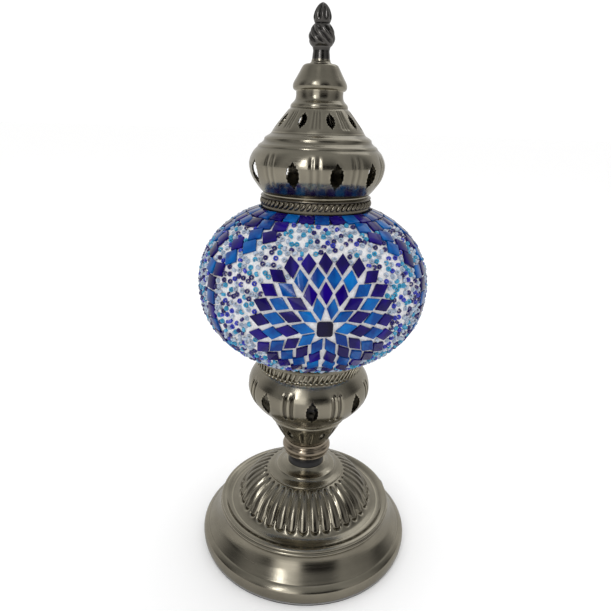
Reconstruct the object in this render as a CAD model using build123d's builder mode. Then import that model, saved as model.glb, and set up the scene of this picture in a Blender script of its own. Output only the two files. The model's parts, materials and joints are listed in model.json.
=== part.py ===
from build123d import *
from math import atan2, cos, degrees, hypot, radians, sin
import os

os.makedirs("parts", exist_ok=True)

# Mosaic glass table lamp. Millimetres, +Z up, origin at the centre of the base on the table.
# The front of the lamp is -Y; azimuths are degrees from the front towards +X.

# Driving dimensions
base_radius = 70.2
wall = 1.2
tube_radius = 4.95
bore_radius = 5.05
flute_count = 36
bowl_window_count = 8
cone_window_count = 6
gallery_bar_count = 64
bulge_window_azimuths = (16, 50, 87, 126, 170, 214, 256, 298, 341)
bell_window_count = 9
rope_strand_count = 90

globe_radius = 67.0
globe_half_height = 49.0
globe_roundness = 2.2
globe_middle = 183.5
globe_bottom = 140.8
globe_top = 225.4
globe_bottom_opening = 33.5
globe_top_opening = 27.5
tile_thickness = 1.1
grout_depth = 1.7
glass_depth = 2.4

medallion_azimuths = (6, 126, 246)
medallion_drop = 5.0
centre_tile = 7.6
tile_reach = 6.1
tile_half_width = 3.1
flower_sectors = 5
first_row = 11.3
row_spacing = 8.0
row_bulge = 0.05
tile_lean = 0.45

# Heights of the seams between the stacked pieces
pad_top = 1.0
plate_top = 2.0
dome_foot = 28.6
cup_foot = 51.4
spacer_foot = 58.8
neck_foot = 66.0
cone_foot = 75.7
bowl_foot = 96.9
bowl_rim = 138.0
seat_top = 140.2
cap_foot = 226.0
bulge_foot = 235.4
bell_foot = 267.6
dome_seam = 288.6
dome_flat = 301.2
stem_foot = 303.4
bud_foot = 309.4
finial_tip = 329.6


def direction(azimuth):
    """Unit vector that points out from the lamp's axis at this azimuth."""
    return Vector(sin(radians(azimuth)), -cos(radians(azimuth)), 0)


def upright_plane(azimuth, distance, height):
    """Upright plane that faces out from the axis, with its own +Y straight up."""
    out = direction(azimuth)
    return Plane(origin=out * distance + Vector(0, 0, height), x_dir=(-out.Y, out.X, 0), z_dir=out)


def meridian_plane(azimuth):
    """Plane that holds the axis and cuts the lamp at this azimuth: its +X runs out, its +Y up."""
    out = direction(azimuth)
    return Plane(origin=(0, 0, 0), x_dir=out, z_dir=(out.Y, -out.X, 0))


def around(count, first=0):
    """Azimuths of count equal steps around the axis."""
    return [first + index * 360 / count for index in range(count)]


def leaf(height, width):
    """Upright pointed leaf with a scallop on each shoulder, as pierced through the sheet."""
    with BuildSketch() as outline:
        with BuildLine():
            ThreePointArc((0, -height / 2), (width / 2, 0), (0, height / 2))
            ThreePointArc((0, height / 2), (-width / 2, 0), (0, -height / 2))
        make_face()
        with GridLocations(0.72 * width, 0.44 * height, 2, 2):
            Circle(0.11 * width)
    return outline.sketch


def ring_section(inner, outer, bottom, top):
    """Rectangle of a plain ring in the XZ plane."""
    with BuildSketch(Plane.XZ) as section:
        with Locations(((inner + outer) / 2, (bottom + top) / 2)):
            Rectangle(outer - inner, top - bottom)
    return section.sketch


def left_normals(points):
    """Unit normals on the left of a curve through these points, at each of them."""
    chords = [(after - before).normalized() for before, after in zip(points, points[1:])]
    tangents = [(one + other).normalized() for one, other in zip(chords, chords[1:])]
    if tangents:
        first = (chords[0] * 2 - tangents[0]).normalized()
        last = (chords[-1] * 2 - tangents[-1]).normalized()
        tangents = [first, *tangents, last]
    else:
        tangents = [chords[0], chords[0]]
    return [Vector(-tangent.Y, tangent.X) for tangent in tangents]


def sheet_section(*runs, thickness=wall):
    """Section of spun sheet. The runs follow its outside; the inside is their copy, to their left."""
    outer_runs = []
    for run in runs:
        start = [outer_runs[-1][-1]] if outer_runs else []
        outer_runs.append(start + [Vector(*point) for point in run])
    normals = [left_normals(run) for run in outer_runs]
    for one, other in zip(normals, normals[1:]):
        corner = (one[-1] + other[0]).normalized()
        one[-1] = other[0] = corner / corner.dot(one[-1])
    with BuildSketch(Plane.XZ) as section:
        with BuildLine():
            for run, run_normals in zip(outer_runs, normals):
                inner = [point + normal * thickness for point, normal in zip(run, run_normals)]
                if len(run) == 2:
                    Line(*run)
                    Line(*inner)
                else:
                    Spline(*run)
                    Spline(*inner)
            Line(outer_runs[0][0], outer_runs[0][0] + normals[0][0] * thickness)
            Line(outer_runs[-1][-1], outer_runs[-1][-1] + normals[-1][-1] * thickness)
        make_face()
    return section.sketch


def globe_outline(depth, samples=12):
    """Half outline of the globe at this depth under the tiles, from its lowest to its highest point."""
    radius = globe_radius - depth
    half_height = globe_half_height - depth
    power = 2 / globe_roundness
    points = []
    for index in range(samples + 1):
        angle = radians(-81 + 162 * index / samples)
        rise = abs(sin(angle)) ** power * half_height
        points.append((radius * cos(angle) ** power, globe_middle + (rise if angle > 0 else -rise)))
    return points


def meridian_point(arc_length, step=0.05):
    """Radius, height and outward tilt of the globe's outer outline at this arc length above its middle."""
    side = 1 if arc_length >= 0 else -1
    power = 2 / globe_roundness
    travelled, angle = 0.0, 0.0
    radius, rise = globe_radius, 0.0
    tilt = 0.0
    while travelled < abs(arc_length):
        angle += radians(step)
        new_radius = globe_radius * cos(angle) ** power
        new_rise = globe_half_height * sin(angle) ** power
        travelled += hypot(new_radius - radius, new_rise - rise)
        tilt = atan2(radius - new_radius, new_rise - rise)
        radius, rise = new_radius, new_rise
    return radius, globe_middle + side * rise, side * tilt


def tile_plane(azimuth, across, up, lift):
    """Plane that touches the globe's skin, across and up from the medallion's middle at this azimuth."""
    radius, height, tilt = meridian_point(up - medallion_drop)
    turn = azimuth + degrees(across / radius)
    out = direction(turn)
    normal = out * cos(tilt) + Vector(0, 0, sin(tilt))
    origin = out * radius + Vector(0, 0, height) + normal * lift
    return Plane(origin=origin, x_dir=(-out.Y, out.X, 0), z_dir=normal)


# ---------------------------------------------------------------- stand: base

with BuildPart() as base_pad:
    add(ring_section(52, base_radius - 1.2, 0, pad_top))
    revolve(axis=Axis.Z)
base_pad.part.label = "base_pad"

# Dished in the middle, which leaves room for the bottom nut above the table
with BuildPart() as base_plate:
    with BuildSketch(Plane.XZ):
        with BuildLine():
            Polyline((bore_radius, 6.6), (bore_radius, 5.6), (11, 5.6), (15, pad_top),
                     (base_radius - 0.8, pad_top), (base_radius - 0.8, plate_top), (15.6, plate_top),
                     (11.6, 6.6), (bore_radius, 6.6))
        make_face()
    revolve(axis=Axis.Z)
base_plate.part.label = "base_plate"

with BuildPart() as base_weight:
    add(ring_section(18, 60, plate_top, 7.5))
    revolve(axis=Axis.Z)
    fillet(base_weight.edges().filter_by(GeomType.CIRCLE).group_by(Axis.Z)[-1], 1)
base_weight.part.label = "base_weight"

grommet_azimuth = 125
grommet_height = 8.0
grommet_radius = 4.2
with BuildPart() as base_shell:
    rim = [(69.5, plate_top), (base_radius, 5.0), (base_radius, 8.6), (68.7, 11.8)]
    crease = [(66.4, 13.2)]
    cove = [(61.6, 18.2), (58.7, 23.0), (57.3, 26.6)]
    lower_bead = [(58.2, 27.8), (57.2, 29.0)]
    upper_bead = [(57.1, 30.3), (55.7, 30.9)]
    slope = [(52.0, dome_foot)]
    trough = [(38.0, dome_foot)]
    add(sheet_section(rim, crease, cove, lower_bead, upper_bead, slope, trough, thickness=1.0))
    revolve(axis=Axis.Z)
    with BuildSketch(upright_plane(grommet_azimuth, 60, grommet_height)):
        Circle(grommet_radius)
    extrude(amount=15, mode=Mode.SUBTRACT)
base_shell.part.label = "base_shell"

cord_bore_radius = 3.0
with BuildPart() as cord_grommet:
    with BuildSketch(upright_plane(grommet_azimuth, base_radius - 2.6, grommet_height)):
        Circle(grommet_radius)
    extrude(amount=2.7)
    with BuildSketch(upright_plane(grommet_azimuth, base_radius + 0.1, grommet_height)):
        Circle(grommet_radius + 1.4)
    extrude(amount=1.2)
    fillet(cord_grommet.edges().filter_by(GeomType.CIRCLE).sort_by(SortBy.DISTANCE)[-1], 0.5)
    with BuildSketch(upright_plane(grommet_azimuth, base_radius - 4, grommet_height)):
        Circle(cord_bore_radius)
    extrude(amount=8, mode=Mode.SUBTRACT)
cord_grommet.part.label = "cord_grommet"

groove_width = 1.1
groove_reach = 1.6
with BuildPart() as fluted_dome:
    swell = [(42.0, dome_foot), (41.6, 33.0), (39.8, 38.8), (35.8, 44.0), (30.4, 48.2), (26.4, cup_foot)]
    add(sheet_section(swell, [(20.0, cup_foot)]))
    revolve(axis=Axis.Z)
    for azimuth in around(flute_count, first=5):
        with BuildSketch(meridian_plane(azimuth)):
            with BuildLine():
                crest = Spline((42.6, 31.6), (40.6, 39.2), (36.4, 44.6), (31.0, 48.9))
                root = Spline((42.6 - groove_reach, 31.6), (39.0, 38.4), (35.0, 43.2), (29.9, 47.3))
                Line(crest @ 0, root @ 0)
                Line(crest @ 1, root @ 1)
            make_face()
    extrude(amount=groove_width / 2, both=True, mode=Mode.SUBTRACT)
fluted_dome.part.label = "fluted_dome"

with BuildPart() as base_cup:
    edge = [(26.6, cup_foot), (26.6, cup_foot + 0.9)]
    ogee = [(21.6, cup_foot + 2.6), (16.2, cup_foot + 4.4), (13.0, spacer_foot)]
    add(sheet_section(edge, ogee, [(bore_radius, spacer_foot)], thickness=0.8))
    revolve(axis=Axis.Z)
base_cup.part.label = "base_cup"

# ---------------------------------------------------------------- stand: neck, cone and bowl

with BuildPart() as neck_spacer:
    add(ring_section(bore_radius, 12.2, spacer_foot, neck_foot))
    revolve(axis=Axis.Z)
neck_spacer.part.label = "neck_spacer"

with BuildPart() as neck_ring:
    with BuildSketch(Plane.XZ):
        with BuildLine():
            foot = Line((bore_radius, neck_foot), (13.4, neck_foot))
            fillet_edge = ThreePointArc(foot @ 1, (14.4, neck_foot + 0.4), (14.5, neck_foot + 1.4))
            bead = ThreePointArc(fillet_edge @ 1, (15.9, neck_foot + 4.2), (14.9, neck_foot + 7.4))
            waist = ThreePointArc(bead @ 1, (14.2, neck_foot + 8.2), (13.7, cone_foot))
            Line(waist @ 1, (bore_radius, cone_foot))
            Line((bore_radius, cone_foot), foot @ 0)
        make_face()
    revolve(axis=Axis.Z)
neck_ring.part.label = "neck_ring"

cone_window = leaf(6.2, 4.4)
with BuildPart() as lower_cone:
    web = [(bore_radius, cone_foot), (13.6, cone_foot)]
    flare = [(16.9, cone_foot + 5.4), (20.6, cone_foot + 11.4), (23.4, bowl_foot - 4.2),
             (24.4, bowl_foot - 1.4)]
    add(sheet_section(web, flare, [(24.4, bowl_foot)]))
    revolve(axis=Axis.Z)
    for azimuth in around(cone_window_count, first=30):
        with BuildSketch(upright_plane(azimuth, 13, cone_foot + 10.6)):
            add(cone_window)
    extrude(amount=20, mode=Mode.SUBTRACT)
lower_cone.part.label = "lower_cone"

bowl_window = leaf(15.5, 7.6)
with BuildPart() as lower_bowl:
    web = [(bore_radius, bowl_foot), (24.8, bowl_foot)]
    belly = [(28.9, 99.9), (33.0, 104.1), (37.2, 109.8), (38.6, 116.4), (36.8, 124.0), (31.8, 130.2),
             (30.2, 132.6)]
    add(sheet_section(web, belly, [(30.2, bowl_rim)]))
    revolve(axis=Axis.Z)
    for azimuth in around(bowl_window_count, first=3):
        with BuildSketch(upright_plane(azimuth, 22, 113.6)):
            add(bowl_window)
    extrude(amount=30, mode=Mode.SUBTRACT)
lower_bowl.part.label = "lower_bowl"

slot_width = 1.7
with BuildPart() as gallery:
    with BuildSketch(Plane.XZ):
        with BuildLine():
            Polyline((30.3, bowl_rim), (30.3, 136.9), (33.2, 136.9), (31.6, 130.9), (32.8, 130.7),
                     (34.5, bowl_rim), (30.3, bowl_rim))
        make_face()
    revolve(axis=Axis.Z)
    for azimuth in around(gallery_bar_count):
        with BuildSketch(upright_plane(azimuth, 28, 134.2)):
            SlotCenterToCenter(2.4, slot_width, rotation=72)
    extrude(amount=8, mode=Mode.SUBTRACT)
gallery.part.label = "gallery"

# ---------------------------------------------------------------- stand: globe seat

with BuildPart() as globe_seat:
    with BuildSketch(Plane.XZ):
        with BuildLine():
            flange = Line((27.5, bowl_rim), (34.9, bowl_rim))
            strip = ThreePointArc(flange @ 1, (35.6, bowl_rim + 0.9), (36.2, seat_top))
            land = Polyline(strip @ 1, (32.6, seat_top), (32.6, 143.4), (31.4, 143.4), (31.4, seat_top),
                            (27.5, seat_top), flange @ 0)
        make_face()
    revolve(axis=Axis.Z)
globe_seat.part.label = "globe_seat"

with BuildPart() as seat_gasket:
    add(ring_section(33.6, 35.6, seat_top, globe_bottom - 0.05))
    revolve(axis=Axis.Z)
seat_gasket.part.label = "seat_gasket"

# ---------------------------------------------------------------- stand: tie tube

tube_foot = 1.8
tube_top = 116.0
nut_across_flats = 14.0
nut_height = 3.4
washer_radius = 9.0
nut_seats = (5.6 - 1.0 - nut_height, bowl_foot + wall + 1.0)
washer_seats = (5.6 - 1.0, bowl_foot + wall)

with BuildPart() as threaded_tube:
    add(ring_section(3.4, tube_radius, tube_foot, tube_top))
    revolve(axis=Axis.Z)
threaded_tube.part.label = "threaded_tube"

with BuildPart() as tube_nuts:
    for height in nut_seats:
        with BuildSketch(Plane.XY.offset(height)):
            RegularPolygon(nut_across_flats / 2, 6, major_radius=False)
            Circle(tube_radius, mode=Mode.SUBTRACT)
    extrude(amount=nut_height)
tube_nuts.part.label = "tube_nuts"

with BuildPart() as tube_washers:
    for height in washer_seats:
        with BuildSketch(Plane.XY.offset(height)):
            Circle(washer_radius)
            Circle(bore_radius, mode=Mode.SUBTRACT)
    extrude(amount=1.0)
tube_washers.part.label = "tube_washers"

# ---------------------------------------------------------------- stand: lamp holder

holder_foot = 108.0
barrel_foot = 122.0
barrel_top = 157.0
contact_height = 134.4
screw_shell_foot = 137.0
cap_radius = 6.95

with BuildPart() as socket_base:
    with BuildSketch(Plane.XZ):
        with BuildLine():
            Polyline((tube_radius, holder_foot), (9.5, holder_foot), (10.5, holder_foot + 1.5),
                     (12.4, barrel_foot), (tube_radius, barrel_foot), (tube_radius, holder_foot))
        make_face()
    revolve(axis=Axis.Z)
socket_base.part.label = "socket_base"

with BuildPart() as socket_barrel:
    with BuildSketch(Plane.XZ):
        with BuildLine():
            Polyline((2.2, barrel_foot), (12.4, barrel_foot), (12.4, 140), (13.8, 141.5), (13.8, 144.5),
                     (12.4, 146), (12.4, barrel_top), (8.6, barrel_top), (8.6, 133), (2.2, 133),
                     (2.2, barrel_foot))
        make_face()
    revolve(axis=Axis.Z)
socket_barrel.part.label = "socket_barrel"

with BuildPart() as socket_screw_shell:
    add(ring_section(cap_radius + 0.06, 8.6, screw_shell_foot, barrel_top - 3))
    revolve(axis=Axis.Z)
socket_screw_shell.part.label = "socket_screw_shell"

with BuildPart() as socket_contact:
    with BuildSketch(Plane.XY.offset(barrel_foot + 3)):
        Circle(2.2)
    extrude(amount=contact_height - barrel_foot - 3.8)
    with BuildSketch(Plane.XY.offset(contact_height - 0.8)):
        SlotCenterToCenter(6.0, 3.0)
    extrude(amount=0.8)
socket_contact.part.label = "socket_contact"

# ---------------------------------------------------------------- bulb

bulb_foot = contact_height + 0.3
bulb_neck = 158.5
bulb_radius = 22.5
bulb_middle = 191.0

with BuildPart() as bulb_contact:
    with BuildSketch(Plane.XZ):
        with BuildLine():
            tip = ThreePointArc((0, bulb_foot), (1.7, bulb_foot + 0.5), (2.4, bulb_foot + 1.6))
            Polyline(tip @ 1, (4.6, bulb_foot + 4), (0, bulb_foot + 4), tip @ 0)
        make_face()
    revolve(axis=Axis.Z)
bulb_contact.part.label = "bulb_contact"

with BuildPart() as bulb_cap:
    with BuildSketch(Plane.XZ):
        with BuildLine():
            Polyline((0, bulb_foot + 4), (4.6, bulb_foot + 4), (cap_radius, bulb_foot + 7),
                     (cap_radius, bulb_neck), (6.2, bulb_neck), (6.2, bulb_foot + 8), (0, bulb_foot + 8),
                     (0, bulb_foot + 4))
        make_face()
    revolve(axis=Axis.Z)
bulb_cap.part.label = "bulb_cap"

with BuildPart() as bulb_glass:
    with BuildSketch(Plane.XZ):
        with BuildLine():
            crown = CenterArc((0, bulb_middle), bulb_radius, -30, 120)
            throat = Spline(crown @ 0, (11.4, 168.0), (8.6, bulb_neck), tangents=((-0.5, -0.87), (0, -1)))
            under = Polyline(throat @ 1, (6.2, bulb_neck), (6.2, bulb_neck - 4), (5.4, bulb_neck - 4),
                             (5.4, bulb_neck), (7.8, bulb_neck + 0.8))
            hollow_throat = Spline(under @ 1, (10.6, 168.2), (crown @ 0) - Vector(0.8, -0.45),
                                   tangents=((0, 1), (0.5, 0.87)))
            hollow_crown = CenterArc((0, bulb_middle), bulb_radius - 0.9, -30, 120)
            Line(hollow_throat @ 1, hollow_crown @ 0)
            Line(hollow_crown @ 1, crown @ 1)
        make_face()
    revolve(axis=Axis.Z)
bulb_glass.part.label = "bulb_glass"

filament_bars = 4
with BuildPart() as bulb_filament:
    with BuildSketch(Plane.XY.offset(bulb_foot + 8)):
        Circle(3.0)
    extrude(amount=34)
    with BuildSketch(Plane.XY.offset(bulb_foot + 42)):
        with PolarLocations(5.6, filament_bars):
            Circle(0.8)
    extrude(amount=26)
    with BuildSketch(Plane.XY.offset(bulb_foot + 41)):
        Circle(6.6)
    extrude(amount=1)
bulb_filament.part.label = "bulb_filament"


# ---------------------------------------------------------------- globe

def globe_layer(outer_depth, inner_depth):
    """Closed shell of the globe between two depths, trimmed to its openings and its flat lands."""
    with BuildPart() as layer:
        with BuildSketch(Plane.XZ):
            with BuildLine():
                outside = Spline(*globe_outline(outer_depth))
                inside = Spline(*globe_outline(inner_depth))
                Line(outside @ 0, inside @ 0)
                Line(outside @ 1, inside @ 1)
            make_face()
        revolve(axis=Axis.Z)
        with BuildSketch(Plane.XY.offset(globe_bottom)):
            Circle(globe_bottom_opening)
        extrude(amount=20, mode=Mode.SUBTRACT)
        with BuildSketch(Plane.XY.offset(globe_top)):
            Circle(globe_top_opening)
        extrude(amount=-20, mode=Mode.SUBTRACT)
        for height, reach in ((globe_bottom, -20), (globe_top, 20)):
            with BuildSketch(Plane.XY.offset(height)):
                Circle(globe_radius)
            extrude(amount=reach, mode=Mode.SUBTRACT)
    return layer.part


grout_skin = globe_layer(tile_thickness, tile_thickness + grout_depth)
with BuildPart() as globe_grout:
    add(grout_skin)
globe_grout.part.label = "globe_grout"

blown_glass = globe_layer(tile_thickness + grout_depth, tile_thickness + grout_depth + glass_depth)
with BuildPart() as globe_glass:
    add(blown_glass)
globe_glass.part.label = "globe_glass"

tile_sink = 0.25


def tile(azimuth, across, up, outline):
    """One glass tile, its outline laid on the globe's skin."""
    with BuildPart() as piece:
        with BuildSketch(tile_plane(azimuth, across, up, tile_sink - tile_thickness)):
            add(outline)
        extrude(amount=tile_thickness - tile_sink)
    return piece.part


def flower_tiles(rows):
    """Rhombic tiles of these rows. In each row, every one of the five sectors has one tile more."""
    with BuildSketch() as rhombus:
        with BuildLine():
            Polyline((0, tile_reach), (-tile_half_width, 0), (0, -tile_reach), (tile_half_width, 0),
                     close=True)
        make_face()
    pieces = []
    for row in rows:
        step = 360 / flower_sectors / (row + 1)
        for sector in around(flower_sectors):
            for index in range(row + 1):
                swing = (index - row / 2) * step
                distance = (first_row + (row - 1) * row_spacing) * (1 + row_bulge * (swing / 30) ** 2)
                turn = radians(sector + swing)
                outline = rhombus.sketch.rotate(Axis.Z, -sector - tile_lean * swing)
                for azimuth in medallion_azimuths:
                    pieces.append(tile(azimuth, distance * sin(turn), distance * cos(turn), outline))
    return pieces


with BuildSketch() as centre_square:
    RectangleRounded(centre_tile, centre_tile, 1.4)
centre_pieces = [tile(azimuth, 0, 0, centre_square.sketch) for azimuth in medallion_azimuths]
with BuildPart() as tiles_centre:
    add(centre_pieces)
tiles_centre.part.label = "tiles_centre"

azure_pieces = flower_tiles((1, 3))
with BuildPart() as tiles_azure:
    add(azure_pieces)
tiles_azure.part.label = "tiles_azure"

indigo_pieces = flower_tiles((2, 4))
with BuildPart() as tiles_indigo:
    add(indigo_pieces)
tiles_indigo.part.label = "tiles_indigo"

# ---------------------------------------------------------------- cap

with BuildPart() as cap_gasket:
    add(ring_section(27.9, 29.6, globe_top + 0.05, cap_foot))
    revolve(axis=Axis.Z)
cap_gasket.part.label = "cap_gasket"

rope_foot = 229.6
rope_top = 233.4
with BuildPart() as cap_collar:
    with BuildSketch(Plane.XZ):
        with BuildLine():
            skirt = Line((30.2, cap_foot), (30.2, rope_foot))
            seat = Polyline(skirt @ 1, (29.6, rope_foot), (29.6, rope_top), (30.4, rope_top))
            bead = ThreePointArc(seat @ 1, (31.2, 234.2), (30.4, 235.0))
            shoulder = Line(bead @ 1, (29.8, bulge_foot))
            Polyline(shoulder @ 1, (28.4, bulge_foot), (28.4, cap_foot + 1.4), (26.0, cap_foot + 1.4),
                     (26.0, cap_foot), skirt @ 0)
        make_face()
    revolve(axis=Axis.Z)
cap_collar.part.label = "cap_collar"

strand_cut = 0.55
with BuildPart() as rope_band:
    with BuildSketch(Plane.XZ):
        with BuildLine():
            inner = Line((29.6, rope_foot), (29.6, rope_top))
            Line(inner @ 1, (30.3, rope_top))
            ThreePointArc((30.3, rope_top), (31.5, (rope_foot + rope_top) / 2), (30.3, rope_foot))
            Line((30.3, rope_foot), inner @ 0)
        make_face()
    revolve(axis=Axis.Z)
    for azimuth in around(rope_strand_count):
        with BuildSketch(upright_plane(azimuth, 30.9, (rope_foot + rope_top) / 2)):
            Rectangle(strand_cut, rope_top - rope_foot + 2, rotation=-28)
    extrude(amount=2, mode=Mode.SUBTRACT)
rope_band.part.label = "rope_band"

bulge_window = leaf(13.6, 7.2)
with BuildPart() as cap_bulge:
    recess = [(29.7, bulge_foot), (29.7, bulge_foot + 0.8)]
    belly = [(33.2, 240.2), (36.2, 244.4), (37.5, 249.6), (37.2, 253.4), (35.2, 257.8), (32.6, 260.2)]
    first_step = [(32.4, 261.4), (31.0, 262.3)]
    rise = [(29.3, 264.0)]
    second_step = [(29.0, 265.2), (27.7, 266.0)]
    hip = [(25.4, bell_foot)]
    add(sheet_section(recess, belly, first_step, rise, second_step, hip, [(22.4, bell_foot)], thickness=1.0))
    revolve(axis=Axis.Z)
    for azimuth in bulge_window_azimuths:
        with BuildSketch(upright_plane(azimuth, 24, 247.6)):
            add(bulge_window)
    extrude(amount=20, mode=Mode.SUBTRACT)
cap_bulge.part.label = "cap_bulge"

bell_window = leaf(7.8, 4.6)
with BuildPart() as cap_bell:
    foot = [(22.4, bell_foot), (25.2, bell_foot)]
    flank = [(24.2, 271.0), (21.4, 275.4), (17.9, 279.8)]
    groove = [(17.2, 280.2)]
    torus = [(17.2, 281.6), (15.8, 283.0)]
    waist = [(14.6, 284.6), (14.2, dome_seam)]
    add(sheet_section(foot, flank, groove, torus, waist, [(2.6, dome_seam)], thickness=0.9))
    revolve(axis=Axis.Z)
    for azimuth in around(bell_window_count, first=17):
        with BuildSketch(upright_plane(azimuth, 15, 273.6)):
            add(bell_window)
    extrude(amount=14, mode=Mode.SUBTRACT)
cap_bell.part.label = "cap_bell"

with BuildPart() as cap_dome:
    foot = [(12.8, dome_seam), (14.6, dome_seam)]
    bead = [(15.6, 290.2), (15.0, 291.9)]
    slope = [(13.8, 295.2), (11.4, 299.2), (10.2, 300.8), (8.9, dome_flat)]
    add(sheet_section(foot, bead, slope, [(2.6, dome_flat)], thickness=0.9))
    revolve(axis=Axis.Z)
cap_dome.part.label = "cap_dome"

# The bar that the rod stands on spans the collar's inner flange
bridge_bottom = cap_foot + 1.4
rod_radius = 2.0
rod_foot = 224.0
rod_top = 318.0
with BuildPart() as cap_bridge:
    with BuildSketch(Plane.XY.offset(bridge_bottom)):
        Rectangle(54, 8)
        with PolarLocations(16, 2):
            Circle(2.2, mode=Mode.SUBTRACT)
        Circle(rod_radius, mode=Mode.SUBTRACT)
    extrude(amount=2.0)
cap_bridge.part.label = "cap_bridge"

with BuildPart() as cap_rod:
    with BuildSketch(Plane.XY.offset(rod_foot)):
        Circle(rod_radius)
    extrude(amount=rod_top - rod_foot)
cap_rod.part.label = "cap_rod"

with BuildPart() as rod_nut:
    with BuildSketch(Plane.XY.offset(bridge_bottom - 3.2)):
        RegularPolygon(3.5, 6, major_radius=False)
        Circle(rod_radius, mode=Mode.SUBTRACT)
    extrude(amount=3.2)
rod_nut.part.label = "rod_nut"

clip_count = 3
clip_thickness = 0.5
with BuildPart() as cap_clips:
    for azimuth in around(clip_count, first=60):
        with BuildSketch(meridian_plane(azimuth)):
            with BuildLine():
                Polyline((28.2, cap_foot + 1.9), (25.2, cap_foot + 1.9), (24.8, cap_foot - 1),
                         (26.6, cap_foot - 6.4), (24.6, cap_foot - 11))
                offset(amount=clip_thickness, side=Side.LEFT, closed=True)
            make_face()
    extrude(amount=3, both=True)
cap_clips.part.label = "cap_clips"

# ---------------------------------------------------------------- finial

rod_clearance = rod_radius + 0.06
with BuildPart() as finial_ferrule:
    with BuildSketch(Plane.XZ):
        with BuildLine():
            foot = Line((rod_clearance, dome_flat + 0.1), (5.7, dome_flat + 0.1))
            flare = Spline(foot @ 1, (5.0, dome_flat + 1.0), (4.8, stem_foot), tangents=((-1, 0.7), (0, 1)))
            Polyline(flare @ 1, (rod_clearance, stem_foot), foot @ 0)
        make_face()
    revolve(axis=Axis.Z)
finial_ferrule.part.label = "finial_ferrule"

with BuildPart() as finial_stem:
    add(ring_section(rod_clearance, 4.7, stem_foot, bud_foot))
    revolve(axis=Axis.Z)
finial_stem.part.label = "finial_stem"

with BuildPart() as finial_bud:
    with BuildSketch(Plane.XZ):
        with BuildLine():
            foot = Line((rod_clearance, bud_foot), (4.7, bud_foot))
            swell = Spline(foot @ 1, (6.7, 312.8), (6.2, 316.6), (4.0, 319.8),
                           tangents=((0.8, 0.5), (-0.5, 1)))
            bud = Spline(swell @ 1, (4.6, 323.2), (2.8, 327.4), (0, finial_tip),
                         tangents=((0.4, 1), (-1, 0.2)))
            Polyline(bud @ 1, (0, rod_top + 0.3), (rod_clearance, rod_top + 0.3), foot @ 0)
        make_face()
    revolve(axis=Axis.Z)
finial_bud.part.label = "finial_bud"

for piece in (base_pad, base_plate, base_weight, base_shell, cord_grommet, fluted_dome, base_cup, neck_spacer,
              neck_ring, lower_cone, lower_bowl, gallery, globe_seat, seat_gasket, threaded_tube, tube_nuts,
              tube_washers, socket_base, socket_barrel, socket_screw_shell, socket_contact, bulb_contact,
              bulb_cap, bulb_glass, bulb_filament, globe_grout, globe_glass, tiles_centre, tiles_azure,
              tiles_indigo,
              cap_gasket, cap_collar, rope_band, cap_bulge, cap_bell, cap_dome, cap_bridge, cap_rod, rod_nut,
              cap_clips, finial_ferrule, finial_stem, finial_bud):
    export_step(piece.part, f"parts/{piece.part.label}.step")
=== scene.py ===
import itertools
import json
import math
import random

import bpy
import numpy
from mathutils import Matrix, Vector


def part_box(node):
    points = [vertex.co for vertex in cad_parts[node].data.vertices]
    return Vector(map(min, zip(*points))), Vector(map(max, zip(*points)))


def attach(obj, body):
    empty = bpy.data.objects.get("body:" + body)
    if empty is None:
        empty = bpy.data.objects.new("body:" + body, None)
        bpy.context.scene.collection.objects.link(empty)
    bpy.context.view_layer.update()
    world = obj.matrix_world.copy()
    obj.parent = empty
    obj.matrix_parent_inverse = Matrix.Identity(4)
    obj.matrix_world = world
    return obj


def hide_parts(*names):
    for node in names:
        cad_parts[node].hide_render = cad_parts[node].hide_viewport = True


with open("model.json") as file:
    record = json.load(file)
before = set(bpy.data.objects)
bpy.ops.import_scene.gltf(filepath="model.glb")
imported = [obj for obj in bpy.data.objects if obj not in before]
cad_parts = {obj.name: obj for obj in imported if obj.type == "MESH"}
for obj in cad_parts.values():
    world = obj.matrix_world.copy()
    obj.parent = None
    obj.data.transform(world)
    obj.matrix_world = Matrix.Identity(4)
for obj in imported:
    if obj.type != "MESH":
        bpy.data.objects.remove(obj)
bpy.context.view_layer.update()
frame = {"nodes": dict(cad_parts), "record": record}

MM = 0.001
SLOT_OF = {row["node"]: row["material_slot"] for row in frame["record"]["subparts"]}


# ---------------------------------------------------------------- workshop tools

def clear_selection():
    if bpy.context.object and bpy.context.object.mode != "OBJECT":
        bpy.ops.object.mode_set(mode="OBJECT")
    bpy.ops.object.select_all(action="DESELECT")


def pick(piece):
    clear_selection()
    piece.select_set(True)
    bpy.context.view_layer.objects.active = piece


def apply_modifier(piece, kind, **settings):
    pick(piece)
    modifier = piece.modifiers.new(kind.title(), kind)
    for key, value in settings.items():
        setattr(modifier, key, value)
    bpy.ops.object.modifier_apply(modifier=modifier.name)


def foot(node):
    """Height of a CAD node's lowest point, in millimetres."""
    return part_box(node)[0].z / MM


def crown(node):
    """Height of a CAD node's highest point, in millimetres."""
    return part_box(node)[1].z / MM


def reach(node):
    """Greatest radius of a round CAD node, in millimetres."""
    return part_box(node)[1].x / MM


def through(points, per=5):
    """A smooth line through the points, in short steps."""
    ends = [points[0], *points, points[-1]]
    line = []
    for before, start, stop, after in zip(ends, ends[1:], ends[2:], ends[3:]):
        for step in range(per):
            t = step / per
            line.append(tuple(
                0.5 * (2 * b + (c - a) * t + (2 * a - 5 * b + 4 * c - d) * t * t
                       + (3 * b - a - 3 * c + d) * t ** 3)
                for a, b, c, d in zip(before, start, stop, after)))
    return line + [points[-1]]


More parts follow.
